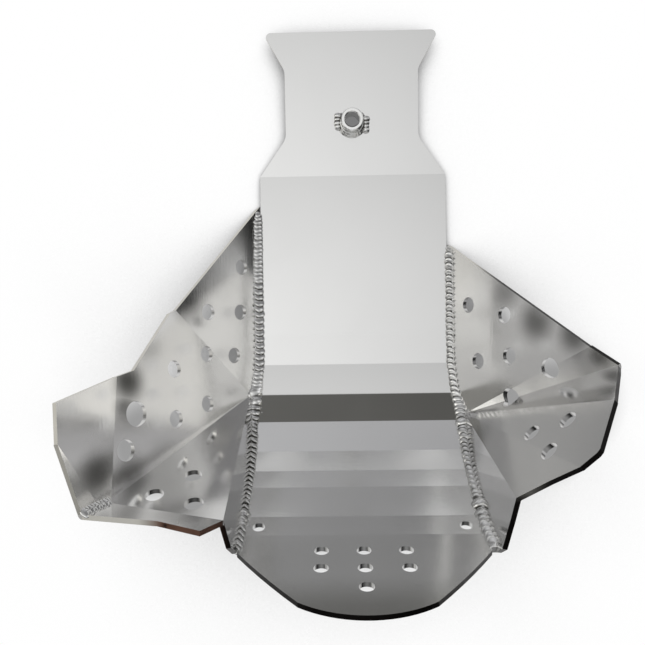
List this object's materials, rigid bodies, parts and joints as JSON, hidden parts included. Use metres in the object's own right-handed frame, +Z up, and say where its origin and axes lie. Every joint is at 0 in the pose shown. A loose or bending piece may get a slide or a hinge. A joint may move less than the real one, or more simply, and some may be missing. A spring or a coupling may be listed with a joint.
{
  "type": "motorcycle skid plate",
  "caption": "Folded aluminium skid plate with an upswept nose, drain holes, two perforated side wings welded on, and a mounting boss on its tail.",
  "frame": {"origin": "middle of the flat panel's underside", "axes": "+Z up, -Y towards the motorcycle's front, +X towards its left; the nose rises at -Y and the tail lies at +Y"},
  "size_m": [0.3701, 0.418, 0.2079],
  "materials": {
    "sheet": "mill-finish rolled sheet",
    "boss": "turned",
    "weld": "rippled weld bead"
  },
  "bodies": {
    "root": {"centre_plate": "sheet", "right_wing": "sheet", "left_wing": "sheet", "rear_boss": "boss", "right_side_weld": "weld", "left_side_weld": "weld", "pocket_weld": "weld", "boss_weld": "weld"}
  },
  "joints": []
}
